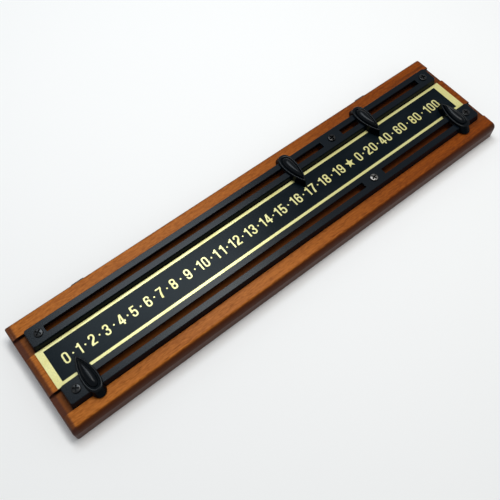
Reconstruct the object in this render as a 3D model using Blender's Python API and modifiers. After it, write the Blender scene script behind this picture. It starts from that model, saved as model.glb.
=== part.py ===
import math

import bmesh
import bpy
from mathutils import Matrix

# Two-player snooker scoreboard: a wooden board with a number plate, two slotted
# rails and four pointers that slide along the slots. Metres, Z up out of the face,
# X along the numbers, Y towards the top edge, origin in the middle of the back face.

MM = 0.001

# Clearances
GAP = 0.3 * MM             # between pieces that rest on or in each other
HAIR = 0.02 * MM           # by which a tool clears the face it leaves
SLIDE_GAP = 0.5 * MM       # around a sliding pointer
FOOT_GAP = 1.0 * MM        # between a pointer's foot and the pocket's sides

# Board
BOARD_LENGTH = 604 * MM
BOARD_WIDTH = 137 * MM
BOARD_THICKNESS = 25 * MM
EDGE_REACH = 6.0 * MM      # round-over of the upper edges, across the face
EDGE_DROP = 10.0 * MM      # and down the sides
CORNER_ROUND = 2.5 * MM    # the four corners, seen from the front
BACK_CHAMFER = 0.8 * MM

# Two channels along the whole board
EDGE_LAND = 19.2 * MM      # bare wood between a channel and the board's long edge
CHANNEL_WIDTH = 26 * MM
CHANNEL_DEPTH = 5 * MM

# Number plate
PLATE_MARGIN = 12 * MM     # bare wood at each end
PLATE_THICKNESS = 0.8 * MM

# Rails
RAIL_MARGIN = 13 * MM      # bare channel at each end
RAIL_RISE = 8.4 * MM       # above the board's face
RAIL_DRAFT = 1.7 * MM      # each side leans in by this much
RAIL_CORNER = 3.0 * MM
RAIL_EDGE = 0.5 * MM
ROOF_THICKNESS = 3.0 * MM
POCKET_WIDTH = 16 * MM
SLOT_WIDTH = 7.8 * MM
SLOT_CORNER = 0.6 * MM
TENS_SLOT = 129 * MM       # the units slot takes the rest of the rail
BRIDGE_LENGTH = 30 * MM    # between the two slots

# Rail screws
SCREW_INSET = 13.5 * MM    # rail end to end screw
LEFT_SCREW_TO_SLOT = 7.5 * MM
RIGHT_SCREW_TO_SLOT = 10.5 * MM
SCREW_HEAD_RADIUS = 5.0 * MM
SCREW_HEAD_HEIGHT = 2.4 * MM
SCREW_RADIUS = 1.8 * MM
SCREW_BITE = 12 * MM       # length in the wood

# Cross recess and dome of every screw, as shares of its head
DRIVE_REACH = 0.55         # of the radius
DRIVE_WIDTH = 0.25         # of the radius
DRIVE_DEPTH = 0.6          # of the height
HEAD_DOME = 0.65           # of the height

# Pointers
POINTER_WIDTH = 16.9 * MM  # outside of the rim
NOSE_REACH = 28.8 * MM     # rim, from the rail's middle towards the numbers
TAIL_REACH = 16.5 * MM     # rim, the other way
NOSE_RAKE = 1.6 * MM       # how much further the nose reaches at the bottom
TAIL_RAKE = 4.2 * MM
SIDE_DRAFT = 0.65 * MM
RIM_RISE = 3.3 * MM        # above the rail
RIM_WIDTH = 2.6 * MM
NECK_INSET = 0.5 * MM      # undercut below the rim
NECK_DROP = 1.0 * MM
GROOVE_WIDTH = 0.8 * MM    # between the rim and the dome
GROOVE_DEPTH = 1.1 * MM
DOME_RISE = 6.6 * MM       # above the rail
DOME_TURN = math.radians(80)   # the dome's sides end in a narrow flat
INWARD_PULL = 1.6          # how much faster the inner outlines draw back at nose and tail
LEAF_WIDEST = 0.66         # share of the length, from the nose
NOSE_CROWD = 1.25          # how closely the outline's points follow at the nose
NOSE_FULLNESS = 0.8        # 1 is a plain sine, less is fuller
TAIL_SQUARENESS = 0.85     # 1 is an ellipse, less is squarer
POINTER_FLOAT = 0.6 * MM   # under the nose, above the number plate
STEM_LENGTH = 7.0 * MM
FOOT_LENGTH = 14 * MM
FOOT_THICKNESS = 2.0 * MM
FOOT_CORNER = 0.6 * MM
PIN_RADIUS = 1.1 * MM
PIN_HEAD_RADIUS = 2.6 * MM
PIN_HEAD_HEIGHT = 1.8 * MM
PIN_BITE = 6.0 * MM        # length in the pointer

# Where the pointers stand, from the end of their travel
UPPER_UNITS_BACK = 46.7 * MM
UPPER_TENS_ON = 32.7 * MM
LOWER_UNITS_ON = 1.8 * MM
LOWER_TENS_BACK = 0.5 * MM

# Wall plates let into the back
HANGER_INSET = 89 * MM     # board end to the middle of a plate
HANGER_WIDTH = 20 * MM
HANGER_INSIDE = 27 * MM    # on the board
HANGER_EAR = 11.5 * MM     # past the top edge
HANGER_THICKNESS = 1.5 * MM
HANGER_CORNER = 4.0 * MM
EAR_HOLE_RADIUS = 3.25 * MM
CSK_END_INSET = 8.0 * MM   # plate end to first screw
CSK_SPACING = 12 * MM
CSK_HEAD_RADIUS = 3.0 * MM
CSK_RADIUS = 1.5 * MM
CSK_LENGTH = 15 * MM

# Facets along each kind of rounding
EDGE_STEPS = 6
CORNER_STEPS = 3
RING_STEPS = 4             # rings over a pointer's rim, and as many up its dome

# Levels and lengths that follow from the sizes above
FACE_Z = BOARD_THICKNESS
FLOOR_Z = FACE_Z - CHANNEL_DEPTH
RAIL_TOP_Z = FACE_Z + RAIL_RISE
PLATE_TOP_Z = FACE_Z + GAP + PLATE_THICKNESS
CHANNEL_Y = BOARD_WIDTH / 2 - EDGE_LAND - CHANNEL_WIDTH / 2
PLATE_LENGTH = BOARD_LENGTH - 2 * PLATE_MARGIN
PLATE_WIDTH = 2 * CHANNEL_Y - CHANNEL_WIDTH - 2 * GAP
RAIL_LENGTH = BOARD_LENGTH - 2 * RAIL_MARGIN
RAIL_WIDTH = CHANNEL_WIDTH - 2 * GAP
FOOT_WIDTH = POCKET_WIDTH - 2 * FOOT_GAP
LEFT_SCREW_X = SCREW_INSET - RAIL_LENGTH / 2
RIGHT_SCREW_X = RAIL_LENGTH / 2 - SCREW_INSET
UNITS_SLOT_LEFT = LEFT_SCREW_X + LEFT_SCREW_TO_SLOT
TENS_SLOT_RIGHT = RIGHT_SCREW_X - RIGHT_SCREW_TO_SLOT
TENS_SLOT_LEFT = TENS_SLOT_RIGHT - TENS_SLOT
UNITS_SLOT_RIGHT = TENS_SLOT_LEFT - BRIDGE_LENGTH
MIDDLE_SCREW_X = TENS_SLOT_LEFT - BRIDGE_LENGTH / 2

# Travel: the stem stops at the slot's end, or the pointer's side at a screw's head
STEM_STOP = STEM_LENGTH / 2 + SLIDE_GAP
HEAD_STOP = SCREW_HEAD_RADIUS + POINTER_WIDTH / 2 + SIDE_DRAFT + SLIDE_GAP
UNITS_LOW = max(UNITS_SLOT_LEFT + STEM_STOP, LEFT_SCREW_X + HEAD_STOP)
UNITS_HIGH = min(UNITS_SLOT_RIGHT - STEM_STOP, MIDDLE_SCREW_X - HEAD_STOP)
TENS_LOW = max(TENS_SLOT_LEFT + STEM_STOP, MIDDLE_SCREW_X + HEAD_STOP)
TENS_HIGH = min(TENS_SLOT_RIGHT - STEM_STOP, RIGHT_SCREW_X - HEAD_STOP)


def clear_scene():
    for thing in list(bpy.data.objects):
        bpy.data.objects.remove(thing, do_unlink=True)


def new_collection(name):
    made = bpy.data.collections.new(name)
    bpy.context.scene.collection.children.link(made)
    return made


def new_material(name, colour, roughness, metallic=0.0):
    made = bpy.data.materials.new(name)
    made.use_nodes = True
    shader = made.node_tree.nodes["Principled BSDF"]
    shader.inputs["Base Color"].default_value = (*colour, 1.0)
    shader.inputs["Roughness"].default_value = roughness
    shader.inputs["Metallic"].default_value = metallic
    made.diffuse_color = (*colour, 1.0)
    return made


# Shapes


def block(length, width, low, high, x=0.0, y=0.0):
    shape = bmesh.new()
    bmesh.ops.create_cube(shape, size=1.0)
    bmesh.ops.scale(shape, vec=(length, width, high - low), verts=shape.verts)
    bmesh.ops.translate(shape, vec=(x, y, (low + high) / 2), verts=shape.verts)
    return shape


def cylinder(radius, low, high, y=0.0, steps=24):
    return cone(radius, radius, low, high, y, steps)


def cone(low_radius, high_radius, low, high, y=0.0, steps=24):
    shape = bmesh.new()
    bmesh.ops.create_cone(
        shape,
        cap_ends=True,
        segments=steps,
        radius1=low_radius,
        radius2=high_radius,
        depth=high - low,
    )
    bmesh.ops.translate(shape, vec=(0.0, y, (low + high) / 2), verts=shape.verts)
    return shape


def raise_roof(shape, z, lean_x, lean_y):
    # Draws the top face up to a height, its sides leaning in
    roof = [face for face in shape.faces if face.normal.z > 0.5]
    raised = bmesh.ops.extrude_face_region(shape, geom=roof)["geom"]
    bmesh.ops.delete(shape, geom=roof, context="FACES_ONLY")
    for vert in raised:
        if isinstance(vert, bmesh.types.BMVert):
            vert.co.x -= math.copysign(lean_x, vert.co.x)
            vert.co.y -= math.copysign(lean_y, vert.co.y)
            vert.co.z = z


def cross(head_radius, low, high):
    # A block with an arm drawn out of each side
    width = DRIVE_WIDTH * head_radius
    shape = block(width, width, low, high)
    sides = [face for face in shape.faces if abs(face.normal.z) < 0.5]
    for face in bmesh.ops.extrude_discrete_faces(shape, faces=sides)["faces"]:
        outward = face.calc_center_median()
        outward.z = 0.0
        arm = outward.normalized() * (DRIVE_REACH * head_radius - width / 2)
        bmesh.ops.translate(shape, vec=arm, verts=face.verts)
    return shape


def dome(radius, top, drop, steps):
    # Profile of a dome from its top on the axis to its rim
    turns = [math.pi / 2 * step / steps for step in range(steps + 1)]
    return [(radius * math.sin(turn), top + drop * (1 - math.cos(turn))) for turn in turns]


def loft(rings):
    # Each ring is an outline with as many points as the next, and its height
    shape = bmesh.new()
    loops = [[shape.verts.new((x, y, z)) for x, y in outline] for outline, z in rings]
    count = len(loops[0])
    shape.faces.new(list(reversed(loops[0])))
    for lower, upper in zip(loops, loops[1:]):
        for here in range(count):
            there = (here + 1) % count
            shape.faces.new((lower[here], lower[there], upper[there], upper[here]))
    shape.faces.new(loops[-1])
    return shape


def upright_edges(shape):
    return [e for e in shape.edges if abs(e.verts[0].co.z - e.verts[1].co.z) > GAP]


def edges_at(shape, z):
    return [e for e in shape.edges if all(abs(v.co.z - z) < 0.01 * GAP for v in e.verts)]


def edges_along(shape, axis, z):
    return [e for e in edges_at(shape, z) if abs(e.verts[0].co[axis] - e.verts[1].co[axis]) > GAP]


def round_edges(shape, edges, radius, steps):
    bmesh.ops.bevel(
        shape, geom=edges, offset=radius, segments=steps, profile=0.5, affect="EDGES",
        clamp_overlap=True,
    )


# Objects


def solid(name, shape, material):
    mesh = bpy.data.meshes.new(name)
    shape.to_mesh(mesh)
    shape.free()
    mesh.shade_smooth()
    mesh.set_sharp_from_angle(angle=math.radians(35))
    mesh.materials.append(material)
    made = bpy.data.objects.new(name, mesh)
    parts.objects.link(made)
    return made


def turned(name, profile, material, steps=24):
    # The profile gives radius and height from the top down, both ends on the axis
    mesh = bpy.data.meshes.new(name)
    links = [(here, here + 1) for here in range(len(profile) - 1)]
    mesh.from_pydata([(radius, 0.0, z) for radius, z in profile], links, [])
    mesh.materials.append(material)
    made = bpy.data.objects.new(name, mesh)
    parts.objects.link(made)
    turn = made.modifiers.new("turn", "SCREW")
    turn.axis = "Z"
    turn.steps = steps
    turn.render_steps = steps
    turn.use_merge_vertices = True
    turn.merge_threshold = 0.01 * MM
    turn.use_smooth_shade = True
    return made


def cutter(name, shape):
    mesh = bpy.data.meshes.new(name)
    shape.to_mesh(mesh)
    shape.free()
    made = bpy.data.objects.new(name, mesh)
    cutters.objects.link(made)
    made.hide_render = True
    made.display_type = "WIRE"
    return made


def combine(target, operand, operation="DIFFERENCE"):
    step = target.modifiers.new(operand.name, "BOOLEAN")
    step.object = operand
    step.operation = operation
    step.solver = "EXACT"


# Board and number plate


def shaving(edge, top, reach, drop, low, high, steps):
    # Prism of what a round-over takes off, its arc a hair proud of both faces
    middle = (edge - reach + HAIR, top - drop + HAIR)
    turns = [math.pi / 2 * step / steps for step in range(steps + 1)]
    arc = [(middle[0] + reach * math.cos(t), middle[1] + drop * math.sin(t)) for t in turns]
    over = reach + drop
    outside = [(edge + over, arc[0][1]), (edge + over, top + over), (arc[-1][0], top + over)]
    outline = outside + list(reversed(arc))
    return loft([(outline, low), (outline, high)])


def make_board():
    squat = EDGE_REACH / EDGE_DROP
    shape = block(BOARD_LENGTH, BOARD_WIDTH, 0.0, squat * FACE_Z)
    round_edges(shape, edges_along(shape, 0, squat * FACE_Z), EDGE_REACH, EDGE_STEPS)
    bmesh.ops.scale(shape, vec=(1.0, 1.0, 1 / squat), verts=shape.verts)
    round_edges(shape, edges_at(shape, 0.0), BACK_CHAMFER, 1)
    made = solid("board", shape, wood)

    half_length, half_width = BOARD_LENGTH / 2, BOARD_WIDTH / 2
    length_of_end = (-BOARD_WIDTH, BOARD_WIDTH)
    height = (-FACE_Z, 2 * FACE_Z)
    end = shaving(half_length, FACE_Z, EDGE_REACH, EDGE_DROP, *length_of_end, EDGE_STEPS)
    upright = shaving(half_length, half_width, CORNER_ROUND, CORNER_ROUND, *height, CORNER_STEPS)
    other = shaving(half_width, half_length, CORNER_ROUND, CORNER_ROUND, *height, CORNER_STEPS)
    bmesh.ops.rotate(end, verts=end.verts, matrix=Matrix.Rotation(math.pi / 2, 3, "X"))
    bmesh.ops.rotate(other, verts=other.verts, matrix=Matrix.Rotation(math.pi / 2, 3, "Z"))
    for name, tool in (("end", end), ("corner", upright), ("other_corner", other)):
        for side, turn in (("right", 0.0), ("left", math.pi)):
            made_tool = cutter(f"board_{side}_{name}", tool.copy())
            made_tool.rotation_euler.z = turn
            combine(made, made_tool)
        tool.free()
    for side, name in ((1, "upper"), (-1, "lower")):
        channel = block(
            2 * BOARD_LENGTH, CHANNEL_WIDTH, FLOOR_Z, FACE_Z + CHANNEL_DEPTH, y=side * CHANNEL_Y
        )
        combine(made, cutter(name + "_channel", channel))
    return made


def make_plate():
    solid("number_plate", block(PLATE_LENGTH, PLATE_WIDTH, FACE_Z + GAP, PLATE_TOP_Z), plate_black)


# Rails and their screws, heights from the top of the rail


def make_rail(name, y):
    bottom = FLOOR_Z + GAP - RAIL_TOP_Z
    shape = block(RAIL_LENGTH, RAIL_WIDTH, bottom, -RAIL_RISE)
    raise_roof(shape, 0.0, RAIL_DRAFT, RAIL_DRAFT)
    round_edges(shape, upright_edges(shape), RAIL_CORNER, 4)
    round_edges(shape, edges_at(shape, 0.0), RAIL_EDGE, 1)
    made = solid(name, shape, rail_plastic)
    made.location = (0.0, y, RAIL_TOP_Z)

    overrun = (FOOT_LENGTH - STEM_LENGTH) / 2 + SLIDE_GAP
    slots = ((UNITS_SLOT_LEFT, UNITS_SLOT_RIGHT), (TENS_SLOT_LEFT, TENS_SLOT_RIGHT))
    for kind, (left, right) in zip(("units", "tens"), slots):
        middle = (left + right) / 2
        length = right - left
        slot = block(length, SLOT_WIDTH, 2 * bottom, RAIL_RISE, x=middle)
        round_edges(slot, upright_edges(slot), SLOT_CORNER, 2)
        pocket = block(length + 2 * overrun, POCKET_WIDTH, 2 * bottom, -ROOF_THICKNESS, x=middle)
        for label, shape in (("pocket", pocket), ("slot", slot)):
            tool = cutter(f"{name}_{kind}_{label}", shape)
            tool.location = made.location
            combine(made, tool)
    return made


def make_rail_screw(name, x, y, rail):
    low = FLOOR_Z - RAIL_TOP_Z - SCREW_BITE
    top = GAP + SCREW_HEAD_HEIGHT
    profile = dome(SCREW_HEAD_RADIUS, top, -HEAD_DOME * SCREW_HEAD_HEIGHT, 5)
    profile += [
        (SCREW_HEAD_RADIUS, GAP),
        (SCREW_RADIUS, GAP),
        (SCREW_RADIUS, low + 2 * SCREW_RADIUS),
        (0.0, low),
    ]
    made = turned(name, profile, screw_steel)
    recess = cross(SCREW_HEAD_RADIUS, top - DRIVE_DEPTH * SCREW_HEAD_HEIGHT, 2 * top)
    recess_tool = cutter(name + "_recess", recess)
    bore_tool = cutter(name + "_bore", cylinder(SCREW_RADIUS + GAP, low - GAP, RAIL_RISE))
    for thing in (made, recess_tool, bore_tool):
        thing.location = (x, y, RAIL_TOP_Z)
    combine(made, recess_tool)
    combine(board, bore_tool)
    combine(rail, bore_tool)


# Pointers, heights from the top of the rail, nose along -Y


def leaf(nose, tail, width, steps=12):
    # Pointed at the nose, widest two thirds along, square-round at the tail
    length = nose + tail
    widest = LEAF_WIDEST * length
    side = []
    for step in range(steps):
        share = (step / steps) ** NOSE_CROWD
        across = math.sin(math.pi / 2 * share) ** NOSE_FULLNESS
        side.append((width / 2 * across, share * widest))
    for step in range(steps):
        turn = math.pi / 2 * step / steps
        across = math.cos(turn) ** TAIL_SQUARENESS
        along = math.sin(turn) ** TAIL_SQUARENESS
        side.append((width / 2 * across, widest + (length - widest) * along))
    other_side = [(-x, y) for x, y in reversed(side[1:])]
    return [(x, y - nose) for x, y in side + [(0.0, length)] + other_side]


def pointer_shape():
    def ring(inset, z):
        pull = INWARD_PULL * inset
        return leaf(NOSE_REACH - pull, TAIL_REACH - pull, POINTER_WIDTH - 2 * inset), z

    skirt = leaf(NOSE_REACH + NOSE_RAKE, TAIL_REACH + TAIL_RAKE, POINTER_WIDTH + 2 * SIDE_DRAFT)
    groove_z = RIM_RISE - GROOVE_DEPTH
    rings = [
        (skirt, PLATE_TOP_Z + POINTER_FLOAT - RAIL_TOP_Z),
        ring(NECK_INSET, groove_z - NECK_DROP),
    ]

    # Over the round rim into the groove, then up the dome
    for step in range(RING_STEPS + 1):
        turn = math.pi * step / RING_STEPS
        inset = RIM_WIDTH / 2 * (1 - math.cos(turn))
        rings.append(ring(inset, groove_z + GROOVE_DEPTH * math.sin(turn)))
    dome_inset = RIM_WIDTH + GROOVE_WIDTH
    dome_reach = POINTER_WIDTH / 2 - dome_inset
    for step in range(RING_STEPS + 1):
        turn = DOME_TURN * step / RING_STEPS
        inset = dome_inset + dome_reach * (1 - math.cos(turn))
        rings.append(ring(inset, groove_z + (DOME_RISE - groove_z) * math.sin(turn)))
    return loft(rings)


def saddle_shape():
    # The room that the rail needs under the pointer
    shape = block(2 * POINTER_WIDTH, RAIL_WIDTH + 2 * SLIDE_GAP, -2 * RAIL_RISE, -RAIL_RISE)
    raise_roof(shape, SLIDE_GAP, 0.0, RAIL_DRAFT)
    return shape


def make_pointer(name, x, y, facing_up):
    carriage = bpy.data.objects.new(name + "_carriage", None)
    parts.objects.link(carriage)
    carriage.location = (x, y, RAIL_TOP_Z)
    carriage.rotation_euler.z = math.pi if facing_up else 0.0

    stem_end = -ROOF_THICKNESS - SLIDE_GAP
    foot_top = stem_end - GAP
    foot_bottom = foot_top - FOOT_THICKNESS
    pin_seat = foot_bottom - GAP
    pin_tip = stem_end + PIN_BITE

    stem = block(STEM_LENGTH, SLOT_WIDTH - 2 * GAP, stem_end, RIM_RISE / 2)
    bore = cylinder(PIN_RADIUS + GAP, 2 * foot_bottom, pin_tip + GAP, steps=16)
    saddle_tool = cutter(name + "_saddle", saddle_shape())
    stem_tool = cutter(name + "_stem", stem)
    bore_tool = cutter(name + "_pin_bore", bore)
    pointer = solid(name, pointer_shape(), pointer_plastic)
    combine(pointer, saddle_tool)
    combine(pointer, stem_tool, "UNION")
    combine(pointer, bore_tool)

    foot_shape = block(FOOT_LENGTH, FOOT_WIDTH, foot_bottom, foot_top)
    round_edges(foot_shape, upright_edges(foot_shape), FOOT_CORNER, 2)
    foot = solid(name + "_foot", foot_shape, foot_plastic)
    combine(foot, bore_tool)

    low = pin_seat - PIN_HEAD_HEIGHT
    profile = [
        (0.0, pin_tip),
        (PIN_RADIUS, pin_tip - 2 * PIN_RADIUS),
        (PIN_RADIUS, pin_seat),
        (PIN_HEAD_RADIUS, pin_seat),
    ]
    profile += reversed(dome(PIN_HEAD_RADIUS, low, HEAD_DOME * PIN_HEAD_HEIGHT, 4))
    pin = turned(name + "_pin", profile, screw_steel, steps=16)
    recess = cross(PIN_HEAD_RADIUS, 2 * low, low + DRIVE_DEPTH * PIN_HEAD_HEIGHT)
    recess_tool = cutter(name + "_pin_recess", recess)
    combine(pin, recess_tool)

    for thing in (pointer, foot, pin, saddle_tool, stem_tool, bore_tool, recess_tool):
        thing.parent = carriage


# Wall plates with countersunk screws from the back


def make_hanger(name, x):
    edge = BOARD_WIDTH / 2
    inner = edge - HANGER_INSIDE
    length = HANGER_INSIDE + HANGER_EAR
    middle = inner + length / 2
    shape = block(HANGER_WIDTH, length, 0.0, HANGER_THICKNESS, y=middle)
    round_edges(shape, upright_edges(shape), HANGER_CORNER, 5)
    hanger = solid(name, shape, hanger_steel)

    seat = block(
        HANGER_WIDTH + 2 * GAP, length + 2 * GAP, -HANGER_THICKNESS, HANGER_THICKNESS + GAP, y=middle
    )
    round_edges(seat, upright_edges(seat), HANGER_CORNER + GAP, 5)
    seat_tool = cutter(name + "_seat", seat)
    ear = cylinder(
        EAR_HOLE_RADIUS, -HANGER_THICKNESS, 2 * HANGER_THICKNESS, y=edge + HANGER_EAR / 2
    )
    ear_tool = cutter(name + "_ear_hole", ear)
    for thing in (hanger, seat_tool, ear_tool):
        thing.location.x = x
    combine(board, seat_tool)
    combine(hanger, ear_tool)
    for number in (1, 2):
        y = inner + CSK_END_INSET + (number - 1) * CSK_SPACING
        make_hanger_screw(f"{name}_screw_{number}", x, y, hanger)


def make_hanger_screw(name, x, y, hanger):
    head_height = CSK_HEAD_RADIUS - CSK_RADIUS
    profile = [
        (0.0, CSK_LENGTH),
        (CSK_RADIUS, CSK_LENGTH - 2 * CSK_RADIUS),
        (CSK_RADIUS, GAP + head_height),
        (CSK_HEAD_RADIUS, GAP),
        (CSK_HEAD_RADIUS, 0.5 * GAP),
        (0.0, 0.5 * GAP),
    ]
    screw = turned(name, profile, screw_steel)
    recess = cross(CSK_HEAD_RADIUS, -head_height, DRIVE_DEPTH * head_height)
    recess_tool = cutter(name + "_recess", recess)
    bore_tool = cutter(name + "_bore", cylinder(CSK_RADIUS + GAP, -GAP, CSK_LENGTH + GAP))
    sink = CSK_HEAD_RADIUS + 2 * GAP
    sink_tool = cutter(name + "_sink", cone(sink + GAP, 0.0, -GAP, sink))
    for thing in (screw, recess_tool, bore_tool, sink_tool):
        thing.location = (x, y, 0.0)
    combine(screw, recess_tool)
    combine(board, bore_tool)
    combine(hanger, bore_tool)
    combine(hanger, sink_tool)


clear_scene()
parts = new_collection("snooker_scoreboard")
cutters = new_collection("cutters")

wood = new_material("stained_wood", (0.26, 0.085, 0.025), 0.35)
plate_black = new_material("plate_black", (0.012, 0.013, 0.018), 0.4)
rail_plastic = new_material("rail_plastic", (0.012, 0.013, 0.016), 0.38)
pointer_plastic = new_material("pointer_plastic", (0.008, 0.009, 0.011), 0.3)
foot_plastic = new_material("foot_plastic", (0.02, 0.02, 0.022), 0.5)
screw_steel = new_material("screw_steel", (0.2, 0.2, 0.21), 0.35, 1.0)
hanger_steel = new_material("hanger_steel", (0.32, 0.31, 0.29), 0.4, 1.0)

board = make_board()
make_plate()
for row, row_y in (("upper", CHANNEL_Y), ("lower", -CHANNEL_Y)):
    row_rail = make_rail(row + "_rail", row_y)
    screw_spots = (("left", LEFT_SCREW_X), ("middle", MIDDLE_SCREW_X), ("right", RIGHT_SCREW_X))
    for spot, screw_x in screw_spots:
        make_rail_screw(f"{row}_rail_screw_{spot}", screw_x, row_y, row_rail)
make_pointer("upper_units_pointer", UNITS_HIGH - UPPER_UNITS_BACK, CHANNEL_Y, False)
make_pointer("upper_tens_pointer", TENS_LOW + UPPER_TENS_ON, CHANNEL_Y, False)
make_pointer("lower_units_pointer", UNITS_LOW + LOWER_UNITS_ON, -CHANNEL_Y, True)
make_pointer("lower_tens_pointer", TENS_HIGH - LOWER_TENS_BACK, -CHANNEL_Y, True)
make_hanger("left_wall_plate", HANGER_INSET - BOARD_LENGTH / 2)
make_hanger("right_wall_plate", BOARD_LENGTH / 2 - HANGER_INSET)
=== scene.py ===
import math

import bmesh
import bpy
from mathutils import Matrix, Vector


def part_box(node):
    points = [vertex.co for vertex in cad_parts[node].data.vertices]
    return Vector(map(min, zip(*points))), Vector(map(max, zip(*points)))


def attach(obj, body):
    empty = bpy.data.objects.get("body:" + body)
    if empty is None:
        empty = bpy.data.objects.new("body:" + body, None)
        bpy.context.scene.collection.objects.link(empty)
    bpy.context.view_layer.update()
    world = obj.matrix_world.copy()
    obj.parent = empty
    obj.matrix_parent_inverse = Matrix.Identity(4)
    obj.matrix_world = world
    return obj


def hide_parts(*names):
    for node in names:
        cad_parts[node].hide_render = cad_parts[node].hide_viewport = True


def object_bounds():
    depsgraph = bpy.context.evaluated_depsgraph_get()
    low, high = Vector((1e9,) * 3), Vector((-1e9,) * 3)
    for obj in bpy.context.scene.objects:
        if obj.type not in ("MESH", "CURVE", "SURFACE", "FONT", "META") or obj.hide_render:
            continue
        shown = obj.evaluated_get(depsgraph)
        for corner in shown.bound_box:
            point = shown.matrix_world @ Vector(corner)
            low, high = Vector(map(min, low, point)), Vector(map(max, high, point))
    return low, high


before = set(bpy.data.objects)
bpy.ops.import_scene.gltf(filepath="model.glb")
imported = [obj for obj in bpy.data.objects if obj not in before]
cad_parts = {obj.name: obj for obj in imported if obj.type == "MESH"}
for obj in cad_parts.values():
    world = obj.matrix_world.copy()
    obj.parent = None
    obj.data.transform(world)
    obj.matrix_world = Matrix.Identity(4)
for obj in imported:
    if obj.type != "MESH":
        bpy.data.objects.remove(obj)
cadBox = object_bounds()

mm = 0.001
hair = 0.01 * mm  # how near two places count as the same
proud = 1 * mm  # how far a cutter stands out of what it cuts

rails = ("upper_rail", "lower_rail")
wallPlates = ("left_wall_plate", "right_wall_plate")
sliders = ("upper_units", "upper_tens", "lower_units", "lower_tens")


# selecting and shaping

def clearSelection():
    if bpy.context.object and bpy.context.object.mode != "OBJECT":
        bpy.ops.object.mode_set(mode="OBJECT")
    bpy.ops.object.select_all(action="DESELECT")


def activate(piece):
    clearSelection()
    bpy.context.view_layer.objects.active = piece
    piece.select_set(True)


def startEdit(piece):
    activate(piece)
    bpy.ops.object.mode_set(mode="EDIT")


def endEdit():
    bpy.ops.object.mode_set(mode="OBJECT")


# selects the vertices, edges or faces that pass a test
def pick(kind, test):
    mesh = bpy.context.object.data
    bpy.ops.mesh.select_mode(type=kind)
    bpy.ops.mesh.select_all(action="DESELECT")
    cage = bmesh.from_edit_mesh(mesh)
    found = {"VERT": cage.verts, "EDGE": cage.edges, "FACE": cage.faces}[kind]
    for part in [part for part in found if test(part)]:
        part.select_set(True)
    cage.select_flush_mode()
    bmesh.update_edit_mesh(mesh)


def near(first, second):
    return abs(first - second) < hair


def atHeight(part, z):
    return all(near(vert.co.z, z) for vert in part.verts)


def isUpright(edge):
    first, second = edge.verts
    return not near(first.co.z, second.co.z)


def bevel(offset, steps):
    bpy.ops.mesh.bevel(offset=offset * mm, segments=steps, profile=0.5, affect="EDGES")


def middleOf(low, high):
    return [(a + b) / 2 for a, b in zip(low, high)]


def addBlock(name, low, high):
    clearSelection()
    bpy.ops.mesh.primitive_cube_add(size=1, location=middleOf(low, high))
    block = bpy.context.object
    block.name = name
    block.scale = [b - a for a, b in zip(low, high)]
    bpy.ops.object.transform_apply()
    return block


def addRound(name, centre, radius, low, high, sides=48):
    clearSelection()
    bpy.ops.mesh.primitive_cylinder_add(
        vertices=sides, radius=radius, depth=high - low, location=(centre[0], centre[1], (low + high) / 2)
    )
    bpy.context.object.name = name
    bpy.ops.object.transform_apply()
    return bpy.context.object


def roundUprights(piece, radius, steps):
    startEdit(piece)
    pick("EDGE", isUpright)
    bevel(radius, steps)
    endEdit()


def applyModifier(piece, kind, **settings):
    activate(piece)
    step = piece.modifiers.new(kind.lower(), kind)
    for name, value in settings.items():
        setattr(step, name, value)
    bpy.ops.object.modifier_apply(modifier=step.name)


def combine(piece, tool, operation="DIFFERENCE"):
    applyModifier(piece, "BOOLEAN", operation=operation, solver="EXACT", object=tool)
    bpy.data.objects.remove(tool, do_unlink=True)


def duplicate(piece, name, place, turn=0.0):
    activate(piece)
    bpy.ops.object.duplicate()
    twin = bpy.context.object
    twin.name = name
    twin.rotation_euler.z = turn
    twin.location = place
    bpy.ops.object.transform_apply()
    return twin


def finishPiece(piece, name, body, material, nodes=(), smoothAngle=30):
    activate(piece)
    piece.name = name
    piece.data.name = name
    bpy.ops.object.shade_smooth_by_angle(angle=math.radians(smoothAngle))
    applyModifier(piece, "WEIGHTED_NORMAL", keep_sharp=True)  # keeps the flats flat
    piece.data.materials.clear()
    piece.data.materials.append(material)
    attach(piece, body)
    if nodes:
        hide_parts(*nodes)


# shader sums

class Wire:
    # one output of a shader node; sums of wires add Math nodes
    def __init__(self, socket):
        self.socket = socket
        self.tree = socket.id_data

    def into(self, socket):
        self.tree.links.new(self.socket, socket)

    def node(self, kind, settings, inputs, output=0):
        made = self.tree.nodes.new(kind)
        for name, value in settings.items():
            setattr(made, name, value)
        for name, value in inputs.items():
            if isinstance(value, Wire):
                value.into(made.inputs[name])
            else:
                made.inputs[name].default_value = value
        return Wire(made.outputs[output])

    def maths(self, operation, first, second):
        return self.node("ShaderNodeMath", {"operation": operation}, {0: first, 1: second})

    def __add__(self, other):
        return self.maths("ADD", self, other)

    def __radd__(self, other):
        return self.maths("ADD", other, self)

    def __sub__(self, other):
        return self.maths("SUBTRACT", self, other)

    def __rsub__(self, other):
        return self.maths("SUBTRACT", other, self)

    def __mul__(self, other):
        return self.maths("MULTIPLY", self, other)

    def __rmul__(self, other):
        return self.maths("MULTIPLY", other, self)

    def __abs__(self):
        return self.node("ShaderNodeMath", {"operation": "ABSOLUTE"}, {0: self})


def newFinish(name, fixed):
    finish = bpy.data.materials.new(name)
    finish.use_nodes = True
    tree = finish.node_tree
    shader = tree.nodes["Principled BSDF"]
    for socket, value in fixed.items():
        shader.inputs[socket].default_value = value
    place = Wire(tree.nodes.new("ShaderNodeTexCoord").outputs["Object"])
    return finish, shader, place


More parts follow.
